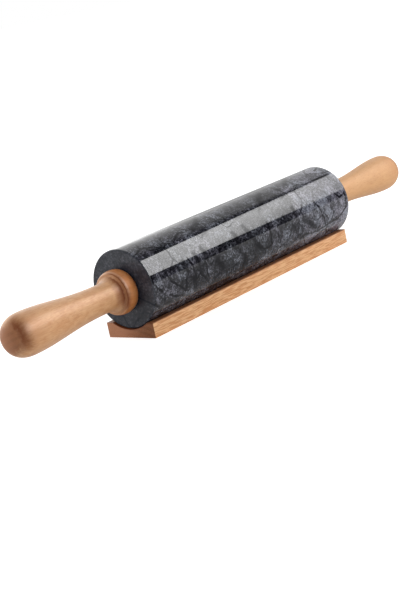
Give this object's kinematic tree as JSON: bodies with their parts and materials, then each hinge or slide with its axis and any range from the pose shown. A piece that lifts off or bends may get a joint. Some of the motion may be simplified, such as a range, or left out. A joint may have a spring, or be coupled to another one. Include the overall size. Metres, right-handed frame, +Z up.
{
  "type": "marble rolling pin",
  "caption": "Rolling pin with a heavy marble barrel that turns on a steel axle between two turned wooden handles, lying in a grooved wooden cradle.",
  "frame": {"origin": "on the plane that the cradle stands on, under the middle of the pin", "axes": "+X along the pin towards its right handle, +Z up, +Y towards the back"},
  "size_m": [0.4854, 0.06, 0.0666],
  "materials": {
    "marble": "polished black marble with grey clouds and veins",
    "cradle_wood": "sanded and oiled beech",
    "handle_wood": "turned beech under a thin satin lacquer",
    "axle_steel": "drawn steel",
    "washer_steel": "stamped steel",
    "bush_nylon": "natural nylon",
    "insert_brass": "turned brass"
  },
  "bodies": {
    "cradle": {"cradle": "cradle_wood"},
    "barrel": {"barrel": "marble", "left_bush": "bush_nylon", "right_bush": "bush_nylon"},
    "handles": {"axle": "axle_steel", "left_washer": "washer_steel", "right_washer": "washer_steel", "left_insert": "insert_brass", "right_insert": "insert_brass", "left_handle": "handle_wood", "right_handle": "handle_wood"}
  },
  "joints": [
    {"name": "lift_off", "type": "slide", "parent": "cradle", "child": "barrel", "axis": [0, 0, 1], "range_m": [0, 0.06]},
    {"name": "handle_spin", "type": "hinge", "parent": "barrel", "child": "handles", "pos_m": [0, 0, 0.0366], "axis": [1, 0, 0], "continuous": true}
  ]
}
